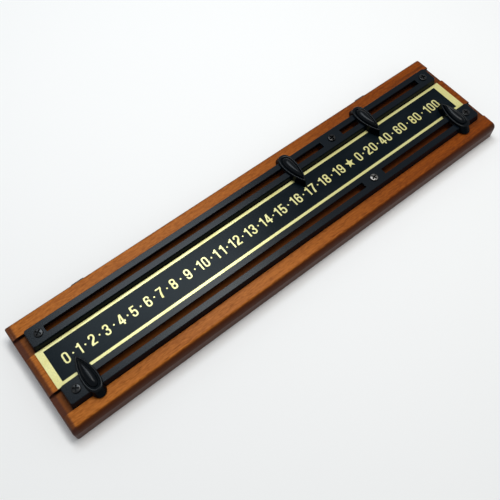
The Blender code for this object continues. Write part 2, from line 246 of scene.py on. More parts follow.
# noise of so many blotches to the metre along each axis
def noise(place, rate, detail, roughness=0.55, shift=0.0):
    spot = place.node("ShaderNodeMapping", {}, {"Vector": place, "Scale": rate, "Location": (shift, shift, shift)})
    return spot.node(
        "ShaderNodeTexNoise", {}, {"Vector": spot, "Scale": 1.0, "Detail": detail, "Roughness": roughness}
    )


def noises(place, grains):
    return [noise(place, **grain) for grain in grains.values()]


# 0 below low, 1 above high, smooth between
def fade(wire, low, high):
    return wire.node(
        "ShaderNodeMapRange",
        {"interpolation_type": "SMOOTHSTEP"},
        {"Value": wire, "From Min": low, "From Max": high},
    )


# sockets 6 and 7 and output 2 are the Mix node's colours
def blendColour(amount, first, second):
    return amount.node("ShaderNodeMix", {"data_type": "RGBA"}, {0: amount, 6: first, 7: second}, 2)


def along(place, axis):
    return place.node("ShaderNodeSeparateXYZ", {}, {0: place}, axis)


def roughen(shader, height, strength, depth):
    bump = height.node("ShaderNodeBump", {}, {"Strength": strength, "Distance": depth * mm, "Height": height})
    bump.into(shader.inputs["Normal"])


# finishes; heights in them are in millimetres, places and stains across the wood in metres

# near black: dirt and painted shade for screw recesses and the sides of screw heads
grimeAndShadeColour = (0.004, 0.004, 0.004, 1)
heightBlur = 0.5


# 1 below a height and 0 above it
def below(place, height):
    return fade(along(place, 2) * -1, -height * mm, (heightBlur - height) * mm)


# a colour with dirt and painted shade below a height, such as in a screw's recess and on the side of its head
def soiled(place, colour, height):
    return blendColour(below(place, height), colour, grimeAndShadeColour) if height else colour


woodLook = dict(
    pale=(0.49, 0.156, 0.0225, 1), deep=(0.265, 0.058, 0.0025, 1),
    paleDark=(0.31, 0.085, 0.0082, 1), deepDark=(0.145, 0.0265, 0.0012, 1), pore=(0.07, 0.017, 0.003, 1),
    edge=(0.045, 0.008, 0.0006, 1), endGrain=(0.056, 0.018, 0.0125, 1),
    # the wall colour is painted shadow along each rail's back side
    channel=(0.1, 0.026, 0.006, 1), wall=(0.012, 0.004, 0.0025, 1),
    ends=(-0.17, 0.3), wander=0.12, figure=(0.42, 0.68), broadShare=0.25, streakShare=0.25, fibreShare=0.6,
    sideEdge=(0.064, 0.0664), capEdge=(0.2963, 0.2993), edgeShift=(0.0025, 0.0006), ragged=0.0012,
    # the last pair here is how far from each rail's back side the painted shadow reaches
    sideStain=0.92, capStain=0.8, channelDarkening=0.7, channelTop=23.0, railGapShadeReach=(0.0004, 0.0008),
    veinFade=(0.52, 0.64), veins=(0.18, 0.29), veinStain=0.5, poreFade=(0.55, 0.72), poreDepth=0.6, poreStain=0.8,
    roughness=0.55, fibreRough=0.1, shine=0.06, lacquer=0.08, sideLacquer=0.3, sideTop=14.0, poreDull=0.1,
    lacquerRough=0.3, fibreRise=0.5, bump=0.35, bumpDepth=0.06,
    noises=dict(
        warp=dict(rate=(3, 22, 22), detail=2.0),
        broad=dict(rate=(5, 45, 45), detail=3.0, shift=4.0),
        streak=dict(rate=(16, 260, 260), detail=4.0, shift=1.0),
        fibre=dict(rate=(150, 800, 800), detail=3.0, roughness=0.65, shift=2.0),
        pores=dict(rate=(110, 1100, 1100), detail=2.0, roughness=0.5, shift=7.0),
        veins=dict(rate=(9, 330, 330), detail=3.0, shift=9.0),
    ),
)


def stainedWood():
    look = woodLook
    fixed = {"Coat Roughness": look["lacquerRough"], "Specular IOR Level": look["shine"]}
    finish, shader, place = newFinish("stained_wood", fixed)
    warp, broad, streak, fibre, pores, veins = noises(place, look["noises"])
    slide = fade(along(place, 0) + (warp - 0.5) * look["wander"], *look["ends"])
    light = blendColour(slide, look["pale"], look["deep"])
    dark = blendColour(slide, look["paleDark"], look["deepDark"])
    bands = broad * look["broadShare"] + streak * look["streakShare"] + fibre * look["fibreShare"]
    body = blendColour(fade(bands, *look["figure"]), light, dark)
    # darker below the channels' top, painted shadow along each rail's back side, and darker stain on the rounded
    # edges and in the end grain
    stained = blendColour(below(place, look["channelTop"]) * look["channelDarkening"], body, look["channel"])
    # a thin line of painted shadow along each rail's back side, down the channel wall and on the land's edge
    for rail in rails:
        fromShadowLine = abs(along(place, 1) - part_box(rail)[1].y)
        stained = blendColour(fade(fromShadowLine, *look["railGapShadeReach"]), look["wall"], stained)
    ragged = (fibre - 0.5) * look["ragged"]
    for axis, reach, stain, colour in ((1, "sideEdge", "sideStain", "edge"), (0, "capEdge", "capStain", "endGrain")):
        fromMiddle = abs(along(place, axis) - look["edgeShift"][axis])
        stained = blendColour(fade(fromMiddle + ragged, *look[reach]) * look[stain], stained, look[colour])
    vein = fade(veins, *look["veinFade"]) * fade(along(place, 0), *look["veins"])
    pore = fade(pores, *look["poreFade"]) * look["poreDepth"]
    marks = pore * look["poreStain"] + vein * look["veinStain"]
    blendColour(marks, stained, look["pore"]).into(shader.inputs["Base Color"])
    (look["roughness"] + fibre * look["fibreRough"]).into(shader.inputs["Roughness"])
    # the upright sides keep more lacquer than the rubbed face
    coat = look["lacquer"] + below(place, look["sideTop"]) * look["sideLacquer"]
    (coat - pore * look["poreDull"]).into(shader.inputs["Coat Weight"])
    roughen(shader, fibre * look["fibreRise"] - pore, look["bump"], look["bumpDepth"])
    return finish


goldLook = dict(
    bright=(0.74, 0.7, 0.3, 1), dull=(0.64, 0.585, 0.2, 1), metal=0.2,
    worn=(0.42, 0.66), cloudShare=0.6, fleckShare=0.4, roughness=0.23, brushRough=0.06, wornRough=0.08,
    bump=0.12, bumpDepth=0.02,
    noises=dict(
        cloud=dict(rate=(38, 60, 60), detail=4.0),
        brush=dict(rate=(60, 2600, 2600), detail=2.0, shift=3.0),
        fleck=dict(rate=(900, 900, 900), detail=2.0, shift=5.0),
    ),
)


def goldFoil():
    look = goldLook
    finish, shader, place = newFinish("gold_foil", {"Metallic": look["metal"]})
    cloud, brush, fleck = noises(place, look["noises"])
    worn = fade(cloud * look["cloudShare"] + fleck * look["fleckShare"], *look["worn"])
    blendColour(worn, look["bright"], look["dull"]).into(shader.inputs["Base Color"])
    (look["roughness"] + brush * look["brushRough"] + worn * look["wornRough"]).into(shader.inputs["Roughness"])
    roughen(shader, brush, look["bump"], look["bumpDepth"])
    return finish


printLook = dict(
    ink=(0.0016, 0.0046, 0.007, 1), thin=(0.004, 0.0075, 0.01, 1), dust=(0.2, 0.2, 0.19, 1),
    tint=(0.85, 0.95, 1.0, 1), shine=0.09, thinFade=(0.35, 0.7), dustFade=(0.79, 0.84), dustStrength=0.5,
    roughness=0.2, cloudRough=0.12, dustRough=0.3, bump=0.1, bumpDepth=0.03,
    noises=dict(
        cloud=dict(rate=(24, 50, 50), detail=4.0),
        speck=dict(rate=(620, 620, 620), detail=1.0, shift=2.0),
        grain=dict(rate=(2400, 2400, 2400), detail=2.0, shift=6.0),
    ),
)


def blackPrint():
    look = printLook
    fixed = {"Specular IOR Level": look["shine"], "Specular Tint": look["tint"]}
    finish, shader, place = newFinish("black_print", fixed)
    cloud, speck, grain = noises(place, look["noises"])
    body = blendColour(fade(cloud, *look["thinFade"]), look["ink"], look["thin"])
    dust = fade(speck, *look["dustFade"]) * look["dustStrength"]
    blendColour(dust, body, look["dust"]).into(shader.inputs["Base Color"])
    (look["roughness"] + cloud * look["cloudRough"] + dust * look["dustRough"]).into(shader.inputs["Roughness"])
    roughen(shader, grain, look["bump"], look["bumpDepth"])
    return finish


# dark moulded plastic, with its own grain and scuffs

railLook = dict(
    body=(0.0008, 0.0034, 0.0066, 1), rubbed=(0.0035, 0.0062, 0.0095, 1), roughness=0.26, shine=0.06,
    gloss=0.25, glossFrom=33.2, grain=0.3, grimeAndShadeBelow=None,
)
pointerLook = dict(
    body=(0.0004, 0.0015, 0.0028, 1), rubbed=(0.001, 0.0024, 0.004, 1), roughness=0.27, shine=0.04,
    gloss=0.24, glossFrom=36.0, grain=0.04, grimeAndShadeBelow=None,
)
footLook = dict(
    body=(0.016, 0.016, 0.018, 1), rubbed=(0.03, 0.03, 0.032, 1), roughness=0.5, shine=0.4,
    gloss=None, grain=0.25, grimeAndShadeBelow=None,
)
# below the given height the black screws get dirt and painted shade in their recesses and on the sides of their
# heads
blackScrewLook = dict(
    body=(0.003, 0.004, 0.006, 1), rubbed=(0.05, 0.046, 0.042, 1), roughness=0.26, shine=0.1,
    gloss=0.5, glossFrom=35.0, grain=0.6, grimeAndShadeBelow=35.05,
)
plasticWear = dict(
    tint=(0.82, 0.95, 1.0, 1), rubbed=(0.56, 0.74), rubbedShare=0.6, cloudShare=0.3,
    cloudRough=0.1, rubbedRough=0.08, smoother=0.05, bumpDepth=0.04,
    noises=dict(
        cloud=dict(rate=(30, 70, 70), detail=4.0),
        scuff=dict(rate=(55, 700, 700), detail=3.0, roughness=0.6, shift=3.0),
        grain=dict(rate=(1500, 1500, 1500), detail=2.0, shift=1.0),
    ),
)


def mouldedPlastic(name, look):
    wear = plasticWear
    finish, shader, place = newFinish(
        name,
        {"Specular IOR Level": look["shine"], "Specular Tint": wear["tint"], "Coat Roughness": look["roughness"]},
    )
    cloud, scuff, grain = noises(place, wear["noises"])
    rubbed = fade(scuff, *wear["rubbed"])
    body = blendColour(rubbed * wear["rubbedShare"] + cloud * wear["cloudShare"], look["body"], look["rubbed"])
    # darkened below the look's height with dirt and painted shade, when it gives one
    soiled(place, body, look["grimeAndShadeBelow"]).into(shader.inputs["Base Color"])
    rough = look["roughness"] + cloud * wear["cloudRough"] + rubbed * wear["rubbedRough"] - wear["smoother"]
    rough.into(shader.inputs["Roughness"])
    # handled tops are polished, the sides stay dull
    if look["gloss"]:
        ((1.0 - below(place, look["glossFrom"])) * look["gloss"]).into(shader.inputs["Coat Weight"])
    roughen(shader, grain, look["grain"], wear["bumpDepth"])
    return finish


# plated or bare steel with tarnish

# below the given height the worn and zinc screws get dirt and painted shade in their recesses and on the sides of
# their heads; the pins and wall plate screws that share the zinc finish lie wholly below it and come out dark all
# over
wornScrewLook = dict(bright=(0.07, 0.07, 0.07, 1), dark=(0.004, 0.004, 0.004, 1), roughness=0.2, grimeAndShadeBelow=35.05)
zincScrewLook = dict(bright=(0.36, 0.35, 0.33, 1), dark=(0.08, 0.075, 0.07, 1), roughness=0.26, grimeAndShadeBelow=35.0)
wallPlateLook = dict(bright=(0.1, 0.095, 0.09, 1), dark=(0.04, 0.037, 0.034, 1), roughness=0.5, grimeAndShadeBelow=None)
steelWear = dict(
    tarnish=(0.4, 0.62), cloudShare=0.7, scratchShare=0.3, tarnishRough=0.14, scratchRough=0.08,
    bump=0.15, bumpDepth=0.02,
    noises=dict(
        cloud=dict(rate=(260, 260, 260), detail=4.0),
        scratch=dict(rate=(2600, 420, 420), detail=2.0, shift=4.0),
    ),
)


def plainSteel(name, look):
    wear = steelWear
    finish, shader, place = newFinish(name, {"Metallic": 1.0})
    cloud, scratch = noises(place, wear["noises"])
    tarnish = fade(cloud * wear["cloudShare"] + scratch * wear["scratchShare"], *wear["tarnish"])
    metal = blendColour(tarnish, look["bright"], look["dark"])
    # darkened below the look's height with dirt and painted shade, when it gives one
    soiled(place, metal, look["grimeAndShadeBelow"]).into(shader.inputs["Base Color"])
    rough = look["roughness"] + tarnish * wear["tarnishRough"] + scratch * wear["scratchRough"]
    rough.into(shader.inputs["Roughness"])
    roughen(shader, scratch, wear["bump"], wear["bumpDepth"])
    return finish


wood = stainedWood()
gold = goldFoil()
ink = blackPrint()
railPlastic = mouldedPlastic("rail_plastic", railLook)
pointerPlastic = mouldedPlastic("pointer_plastic", pointerLook)
footPlastic = mouldedPlastic("foot_plastic", footLook)
blackScrew = mouldedPlastic("black_screw", blackScrewLook)
wornScrew = plainSteel("worn_screw", wornScrewLook)
zincScrew = plainSteel("zinc_screw", zincScrewLook)
wallPlateSteel = plainSteel("hanger_steel", wallPlateLook)
print("finishes made")


# the wooden board; lengths in the shapes are in millimetres

boardShape = dict(
    edgeReach=6.0, edgeDrop=10.0, edgeSteps=14, cornerRound=2.5, cornerSteps=6, backEase=0.8, backSteps=3,
    tuck=0.8, tuckUp=0.75, endTuck=0.5, channelPlay=0.3, channelEase=0.3, channelSteps=2,
    seatPlay=0.3, seatSteps=6, overrun=5.0,
)
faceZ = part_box("board")[1].z


# the back long edge is less rounded, and so are the ends towards it
def tuckBack(low, high):
    shape = boardShape
    reach, drop = shape["edgeReach"] * mm + hair, shape["edgeDrop"] * mm + hair

    def isBack(vert):
        return vert.co.y > high.y - reach and vert.co.z > high.z - drop

    pick("VERT", isBack)
    bpy.ops.transform.resize(value=(1, shape["tuck"], shape["tuckUp"]), center_override=(0, high.y, high.z))
    for end in (low.x, high.x):
        pick("VERT", lambda vert: isBack(vert) and abs(vert.co.x - end) < reach)
        bpy.ops.transform.resize(value=(shape["endTuck"], 1, 1), center_override=(end, 0, 0))


def makePlank():
    shape = boardShape
    low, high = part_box("board")
    squat = shape["edgeReach"] / shape["edgeDrop"]  # rounded while low, then drawn up, so the edges come out oval
    top = low.z + squat * (high.z - low.z)

    def isCorner(edge):
        return isUpright(edge) and all(near(high.x - abs(v.co.x), high.y - abs(v.co.y)) for v in edge.verts)

    board = addBlock("board", low, (high.x, high.y, top))
    startEdit(board)
    pick("EDGE", lambda edge: atHeight(edge, top))
    bevel(shape["edgeReach"], shape["edgeSteps"])
    pick("EDGE", isCorner)
    bevel(shape["cornerRound"], shape["cornerSteps"])
    bpy.ops.mesh.select_all(action="SELECT")
    bpy.ops.transform.resize(value=(1, 1, 1 / squat), center_override=(0, 0, low.z))
    tuckBack(low, high)
    pick("EDGE", lambda edge: atHeight(edge, low.z))
    bevel(shape["backEase"], shape["backSteps"])
    endEdit()
    return board


def cutChannel(board, rail):
    shape = boardShape
    low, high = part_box("board")
    railLow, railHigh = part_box(rail)
    over, play = shape["overrun"] * mm, shape["channelPlay"] * mm
    floorZ = railLow.z - play
    sides = (railLow.y - play, railHigh.y + play)
    combine(board, addBlock("channel", (low.x - over, sides[0], floorZ), (high.x + over, sides[1], high.z + over)))
    startEdit(board)
    for side in sides:
        pick("EDGE", lambda edge: all(near(v.co.y, side) for v in edge.verts) and not atHeight(edge, floorZ))
        bevel(shape["channelEase"], shape["channelSteps"])
    endEdit()


def cutSeat(board, wallPlate):
    shape = boardShape
    low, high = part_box(wallPlate)
    over, room = shape["overrun"] * mm, shape["seatPlay"] * mm
    start = (low.x - room, low.y - room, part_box("board")[0].z - over)
    seat = addBlock("seat", start, (high.x + room, high.y + over, high.z + room))
    roundUprights(seat, wallPlateShape["corner"], shape["seatSteps"])
    combine(board, seat)


def makeBoard():
    board = makePlank()
    for rail in rails:
        cutChannel(board, rail)
    for wallPlate in wallPlates:
        cutSeat(board, wallPlate)
    finishPiece(board, "wooden_board", "base", wood, ["board"])


# the pressed wall plates

wallPlateShape = dict(corner=4.0, cornerSteps=8, hole=3.25, screwHole=3.1, ease=0.25, easeSteps=3)


def makeWallPlate(node):
    shape = wallPlateShape
    low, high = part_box(node)
    plate = addBlock(node, low, high)
    roundUprights(plate, shape["corner"], shape["cornerSteps"])
    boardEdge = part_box("board")[1].y
    spots = [((low.x + high.x) / 2, (boardEdge + high.y) / 2, shape["hole"])]
    for number in (1, 2):
        x, y = middleOf(*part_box(f"{node}_screw_{number}"))[:2]
        spots.append((x, y, shape["screwHole"]))
    for x, y, radius in spots:
        combine(plate, addRound("hole", (x, y), radius * mm, low.z - proud, high.z + proud))
    startEdit(plate)
    pick("EDGE", lambda edge: atHeight(edge, low.z) or atHeight(edge, high.z))
    bevel(shape["ease"], shape["easeSteps"])
    endEdit()
    finishPiece(plate, node + "_steel", "base", wallPlateSteel, [node])


makeBoard()
for node in wallPlates:
    makeWallPlate(node)
print("board and wall plates made")


# the slotted rails

railShape = dict(
    draft=1.7, cornerRound=3.0, cornerSteps=8, topEase=0.45, topSteps=5,
    slots=((-268.0, 106.0), (136.0, 265.0)), slotWidth=7.8, slotCorner=0.6, slotCornerSteps=4,
    slotEase=0.2, slotEaseSteps=3, pocketWidth=16.0, pocketOver=8.0, roof=3.0,
)


# a slot through the roof, over a wider pocket that holds the pointer's foot
def cutSlot(rail, low, high, start, end):
    shape = railShape
    middle = (low + high) / 2
    half, pocketHalf = shape["slotWidth"] / 2 * mm, shape["pocketWidth"] / 2 * mm
    foot = low.z - proud
    slot = addBlock("slot", (start * mm, middle.y - half, foot), (end * mm, middle.y + half, high.z + proud))
    roundUprights(slot, shape["slotCorner"], shape["slotCornerSteps"])
    combine(rail, slot)
    over = shape["pocketOver"]
    pocket = addBlock(
        "pocket", ((start - over) * mm, middle.y - pocketHalf, foot),
        ((end + over) * mm, middle.y + pocketHalf, high.z - shape["roof"] * mm),
    )
    combine(rail, pocket)


def makeRail(node):
    shape = railShape
    low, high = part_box(node)
    middle, size = (low + high) / 2, high - low
    lean = 2 * shape["draft"] * mm
    taper = (1 - lean / size.x, 1 - lean / size.y, 1)
    rail = addBlock(node, low, (high.x, high.y, faceZ))
    startEdit(rail)
    pick("FACE", lambda face: atHeight(face, faceZ))
    bpy.ops.mesh.extrude_region_move(TRANSFORM_OT_translate={"value": (0, 0, high.z - faceZ)})
    bpy.ops.transform.resize(value=taper, center_override=(middle.x, middle.y, high.z))
    pick("EDGE", isUpright)
    bevel(shape["cornerRound"], shape["cornerSteps"])
    pick("EDGE", lambda edge: atHeight(edge, high.z))
    bevel(shape["topEase"], shape["topSteps"])
    endEdit()
    for start, end in shape["slots"]:
        cutSlot(rail, low, high, start, end)
    startEdit(rail)
    reach = shape["slotWidth"] / 2 * mm + hair
    pick("EDGE", lambda edge: atHeight(edge, high.z) and all(abs(v.co.y - middle.y) < reach for v in edge.verts))
    bevel(shape["slotEase"], shape["slotEaseSteps"])
    endEdit()
    finishPiece(rail, node + "_moulding", "base", railPlastic, [node])


for node in rails:
    makeRail(node)
print("rails made")


# the screws that hold the rails

screwShape = dict(
    headRadius=4.9, headSides=64, headHeight=1.9, crown=0.4, rimRound=0.9, rimSteps=5,
    crownRings=((1.6, 0.6), (1.6, 0.3), (1.2, 0.1)),  # each one's inset, and its share of the crown
    armReach=4.0, armWidth=1.9, armTaper=(0.75, 0.8, 1), depth=1.7, shank=1.8, shankLength=14.0,
)
screwTurns = dict(
    upper_rail_screw_left=35, upper_rail_screw_middle=10, upper_rail_screw_right=70,
    lower_rail_screw_left=55, lower_rail_screw_middle=20, lower_rail_screw_right=5,
)
screwFinishes = dict(lower_rail_screw_middle=zincScrew, upper_rail_screw_middle=wornScrew)  # the rest are black


def makeScrewMaster():
    shape = screwShape
    height = shape["headHeight"] * mm
    flat = height - shape["crown"] * mm
    screw = addRound("screw", (0, 0), shape["headRadius"] * mm, 0, flat, shape["headSides"])
    startEdit(screw)
    pick("FACE", lambda face: atHeight(face, flat))
    for inset, share in shape["crownRings"]:
        bpy.ops.mesh.inset(thickness=inset * mm, depth=share * shape["crown"] * mm)
    pick("EDGE", lambda edge: atHeight(edge, flat))
    bevel(shape["rimRound"], shape["rimSteps"])
    pick("FACE", lambda face: atHeight(face, 0))
    bpy.ops.mesh.inset(thickness=(shape["headRadius"] - shape["shank"]) * mm)
    bpy.ops.mesh.extrude_region_move(TRANSFORM_OT_translate={"value": (0, 0, -shape["shankLength"] * mm)})
    endEdit()
    reach, width = shape["armReach"] * mm, shape["armWidth"] / 2 * mm
    for turn in (0, math.pi / 2):
        arm = addBlock("arm", (-reach, -width, height - shape["depth"] * mm), (reach, width, height + proud))
        startEdit(arm)
        pick("FACE", lambda face: face.normal.z < -0.5)
        bpy.ops.transform.resize(value=shape["armTaper"])
        endEdit()
        arm.rotation_euler.z = turn
        activate(arm)
        bpy.ops.object.transform_apply()
        combine(screw, arm)
    return screw


screwMaster = makeScrewMaster()
for node, turn in screwTurns.items():
    x, y = middleOf(*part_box(node))[:2]
    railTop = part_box(node.split("_screw")[0])[1].z
    screw = duplicate(screwMaster, node, (x, y, railTop), math.radians(turn))
    finishPiece(screw, node + "_head", "base", screwFinishes.get(node, blackScrew), [node])
bpy.data.objects.remove(screwMaster, do_unlink=True)
print("rail screws made")


# the sliding pointers

pointerShape = dict(
    width=18.0, nose=28.8, tail=16.5, noseRake=1.6, tailRake=4.2, sideDraft=0.1, pull=1.6,
    widest=0.66, noseCrowd=1.25, noseFullness=0.8, tailSquare=0.85, sideSteps=24,
    rimRise=3.3, rimWidth=2.6, rimSteps=10, neckInset=0.5, neckDrop=1.0, grooveWidth=0.8, grooveDepth=1.1,
    domeTurn=86, domeSteps=12, play=0.5, saddleReach=30.0, stemLength=7.0, slotGap=0.3, smoothAngle=40,
)


def leafOutline(nose, tail, width):
    shape = pointerShape
    steps = shape["sideSteps"]
    length = nose + tail
    widest = shape["widest"] * length
    side = []
    for step in range(steps):
        share = (step / steps) ** shape["noseCrowd"]
        side.append((width / 2 * math.sin(math.pi / 2 * share) ** shape["noseFullness"], share * widest))
    for step in range(steps):
        turn = math.pi / 2 * step / steps
        across, onward = math.cos(turn) ** shape["tailSquare"], math.sin(turn) ** shape["tailSquare"]
        side.append((width / 2 * across, widest + (length - widest) * onward))
    other = [(-x, y) for x, y in reversed(side[1:])]
    return [Vector((x, y - nose)) * mm for x, y in side + [(0.0, length)] + other]


def insetLeaf(inset):
    shape = pointerShape
    pull = shape["pull"] * inset
    return leafOutline(shape["nose"] - pull, shape["tail"] - pull, shape["width"] - 2 * inset)


# from the skirt over the rim into the groove and up the dome; heights are above the rail's top
def pointerRings(skirtZ, domeZ):
    shape = pointerShape
    skirt = leafOutline(
        shape["nose"] + shape["noseRake"], shape["tail"] + shape["tailRake"], shape["width"] + 2 * shape["sideDraft"]
    )
    grooveZ = shape["rimRise"] - shape["grooveDepth"]
    rings = [(skirt, skirtZ), (insetLeaf(shape["neckInset"]), grooveZ - shape["neckDrop"])]
    for step in range(shape["rimSteps"] + 1):
        turn = math.pi * step / shape["rimSteps"]
        inset = shape["rimWidth"] / 2 * (1 - math.cos(turn))
        rings.append((insetLeaf(inset), grooveZ + shape["grooveDepth"] * math.sin(turn)))
    domeInset = shape["rimWidth"] + shape["grooveWidth"]
    domeReach = shape["width"] / 2 - domeInset
    for step in range(shape["domeSteps"] + 1):
        turn = math.radians(shape["domeTurn"]) * step / shape["domeSteps"]
        inset = domeInset + domeReach * (1 - math.cos(turn))
        rings.append((insetLeaf(inset), grooveZ + (domeZ - grooveZ) * math.sin(turn)))
    return rings


# the leaf is drawn up from its foot, ring by ring
def makePointerMaster():
    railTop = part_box("upper_rail")[1].z
    skirtZ, domeZ = [(corner.z - railTop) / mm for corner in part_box("upper_units_pointer")]
    rings = pointerRings(skirtZ, domeZ)
    outline, startZ = rings[0]
    clearSelection()
    bpy.ops.mesh.primitive_circle_add(vertices=len(outline), radius=1, fill_type="NGON")
    pointer = bpy.context.object
    bpy.ops.object.mode_set(mode="EDIT")
    cage = bmesh.from_edit_mesh(pointer.data)
    cage.verts.ensure_lookup_table()
    for vert, spot in zip(cage.verts, outline):
        vert.co = (spot.x, spot.y, startZ * mm)
    bmesh.update_edit_mesh(pointer.data)
    bpy.ops.mesh.select_all(action="SELECT")
    for onward, z in rings[1:]:
        bpy.ops.mesh.extrude_region_move()
        cage = bmesh.from_edit_mesh(pointer.data)
        for vert in [vert for vert in cage.verts if vert.select]:
            nearest = min(range(len(outline)), key=lambda spot: (outline[spot] - vert.co.xy).length)
            vert.co = (onward[nearest].x, onward[nearest].y, z * mm)
        bmesh.update_edit_mesh(pointer.data)
        outline = onward
    bpy.ops.mesh.select_all(action="SELECT")
    bpy.ops.mesh.normals_make_consistent(inside=False)
    endEdit()
    return pointer


# the saddle that straddles the rail, and the stem that goes down its slot
def fitToRail(pointer):
    shape = pointerShape
    railLow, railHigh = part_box("upper_rail")
    play, lean, reach = shape["play"] * mm, railShape["draft"] * mm, shape["saddleReach"] * mm
    half = (railHigh.y - railLow.y) / 2 + play
    saddle = addBlock("saddle", (-reach, -half, faceZ - railHigh.z), (reach, half, play))
    startEdit(saddle)
    pick("FACE", lambda face: face.normal.z > 0.5)
    bpy.ops.transform.resize(value=(1, 1 - lean / half, 1))
    endEdit()
    combine(pointer, saddle)
    halfStem = shape["stemLength"] / 2 * mm
    halfSlot = (railShape["slotWidth"] / 2 - shape["slotGap"]) * mm
    stemFoot = -(railShape["roof"] + shape["play"]) * mm
    stem = addBlock("stem", (-halfStem, -halfSlot, stemFoot), (halfStem, halfSlot, shape["rimRise"] / 2 * mm))
    combine(pointer, stem, "UNION")


pointerMaster = makePointerMaster()
fitToRail(pointerMaster)
for body in sliders:
    node = body + "_pointer"
    row = body.split("_")[0]
    railLow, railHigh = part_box(row + "_rail")
    place = (middleOf(*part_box(node))[0], (railLow.y + railHigh.y) / 2, railHigh.z)
    pointer = duplicate(pointerMaster, node, place, math.pi if row == "lower" else 0.0)
    finishPiece(
        pointer, node + "_moulding", body, pointerPlastic, [node], pointerShape["smoothAngle"]
    )
bpy.data.objects.remove(pointerMaster, do_unlink=True)
print("pointers made")


# the gold strip, its black print and its figures

stripShape = dict(
    edgeEase=0.12, edgeSteps=3, printEnds=(-282.4, 280.8), printSides=(-19.1, 19.5), printCorner=0.5, cornerSteps=4,
    printDepth=0.1, printSkin=0.03, figureSkin=0.06,
)


def makeStrip():
    shape = stripShape
    low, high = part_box("number_plate")
    top = high.z - shape["figureSkin"] * mm
    strip = addBlock("strip", low, (high.x, high.y, top))
    startEdit(strip)
    pick("EDGE", lambda edge: atHeight(edge, top) or isUpright(edge))
    bevel(shape["edgeEase"], shape["edgeSteps"])
    endEdit()
    finishPiece(strip, "gold_strip", "base", gold, ["number_plate"])
    left, right = (end * mm for end in shape["printEnds"])
    front, back = (side * mm for side in shape["printSides"])
    skin = addBlock(
        "print", (left, front, top - shape["printDepth"] * mm), (right, back, top + shape["printSkin"] * mm)
    )
    roundUprights(skin, shape["printCorner"], shape["cornerSteps"])
    finishPiece(skin, "black_print", "base", ink)
    return top, high.z


figureShape = dict(
    height=12.7, width=6.6, baseY=-6.4, drawn=(7.4, 13.9), oneWidth=4.9, fourWidth=8.0,
    stroke=1.95, bar=1.75, square=2.5, bowl=4.3, smallBowl=3.75, arcSteps=10, curveSteps=8,
    pairGap=2.0, oneGap=2.5, elevenGap=4.0, dotRadius=0.95, dotSteps=24, dotY=0.0,
    starPoints=5, starReach=6.0, starTall=1.14, starPinch=0.42, starX=117.9, starY=-0.4, apart=0.01, weld=0.001,
)
# where the numbers stand; the print is a little uneven, so each number has a nudge of its own
figureRuns = (
    dict(
        numbers=tuple(range(10)), start=-270.5, gap=10.15, dotFirst=False,
        nudges=(0, -0.3, -0.5, -0.3, 0.5, -1.3, -0.3, -1.0, -1.2, 0.8),
    ),
    dict(
        numbers=tuple(range(10, 20)), start=-103.8, gap=8.3, dotFirst=True,
        nudges=(0, 0.8, 0.8, 1.0, 0.8, 0, 1.5, 2.0, 1.3, 2.0),
    ),
    dict(
        numbers=(0, 20, 40, 60, 80, 100), start=129.3, gap=9.1, dotFirst=False,
        nudges=(-0.2, -0.8, -1.5, -0.7, 0.5, 2.2),
    ),
)


# a stretch of squared ellipse, angles in degrees
def bow(cx, cy, rx, ry, start, end):
    shape = figureShape
    power = 2 / shape["square"]
    steps = max(2, round(abs(end - start) / 90 * shape["arcSteps"]))
    points = []
    for step in range(steps + 1):
        turn = math.radians(start + (end - start) * step / steps)
        c, s = math.cos(turn), math.sin(turn)
        points.append((cx + rx * math.copysign(abs(c) ** power, c), cy + ry * math.copysign(abs(s) ** power, s)))
    return points


def oval(cx, cy, rx, ry):
    return bow(cx, cy, rx, ry, 0, 360)[:-1]


# a plain curve from one point to another, pulled towards a third
def curveTo(start, pull, end):
    steps = figureShape["curveSteps"]
    points = []
    for step in range(1, steps + 1):
        t = step / steps
        spot = ((1 - t) ** 2 * a + 2 * t * (1 - t) * b + t * t * c for a, b, c in zip(start, pull, end))
        points.append(tuple(spot))
    return points


